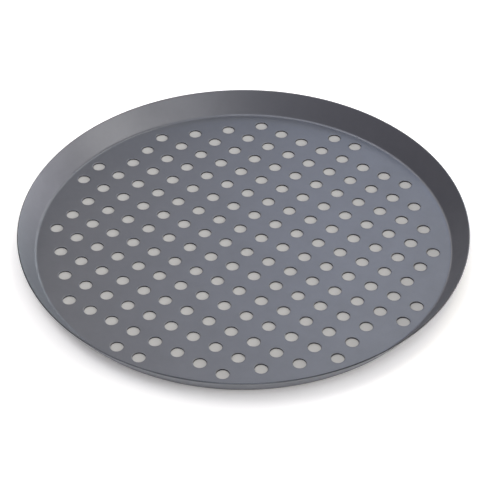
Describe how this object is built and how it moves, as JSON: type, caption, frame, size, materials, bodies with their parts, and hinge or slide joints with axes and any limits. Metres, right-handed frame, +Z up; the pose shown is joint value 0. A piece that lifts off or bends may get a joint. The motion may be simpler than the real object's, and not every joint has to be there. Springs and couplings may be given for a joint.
{
  "type": "pizza pan",
  "caption": "Shallow round pizza pan pressed from one sheet, with a low flared wall, a plain cut rim and a flat base full of round vent holes on a square grid.",
  "frame": {"origin": "centre of the base's underside, on the surface that the pan stands on", "axes": "+Z up, along the pan's axis; the rows of holes run along X and Y"},
  "size_m": [0.3317, 0.3316, 0.0179],
  "materials": {
    "anodised_sheet": "hard anodised, satin dark grey"
  },
  "bodies": {
    "root": {"perforated_pan": "anodised_sheet"}
  },
  "joints": []
}
